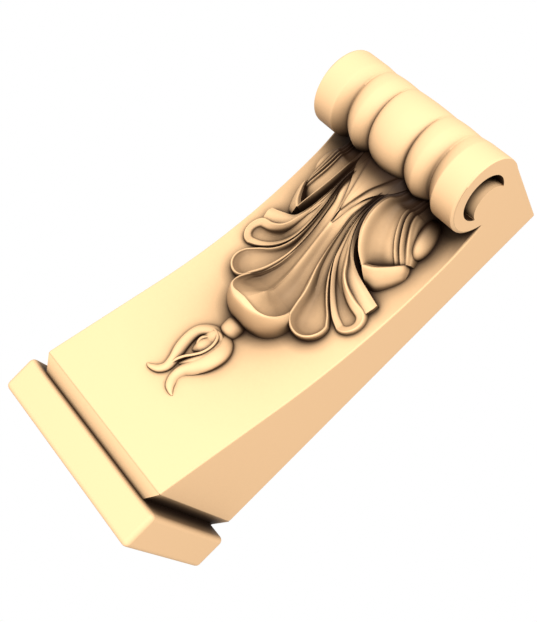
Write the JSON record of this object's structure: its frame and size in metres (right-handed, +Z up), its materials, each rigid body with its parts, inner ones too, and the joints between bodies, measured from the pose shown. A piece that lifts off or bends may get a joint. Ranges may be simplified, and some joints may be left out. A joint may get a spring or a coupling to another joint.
{
  "type": "scroll corbel",
  "caption": "Carved wall corbel with a swept front, a turned scroll roll at the head, a shell-like acanthus leaf with a bud drop, and a slab foot.",
  "frame": {"origin": "middle of the flat wall face", "axes": "+Y into the wall, so the carved front looks along -Y; +Z up, from the slab to the scroll roll; +X across"},
  "size_m": [0.135, 0.0935, 0.3],
  "materials": {
    "cream_body": "smooth cream paint, satin"
  },
  "bodies": {
    "root": {"corbel": "cream_body"}
  },
  "joints": []
}
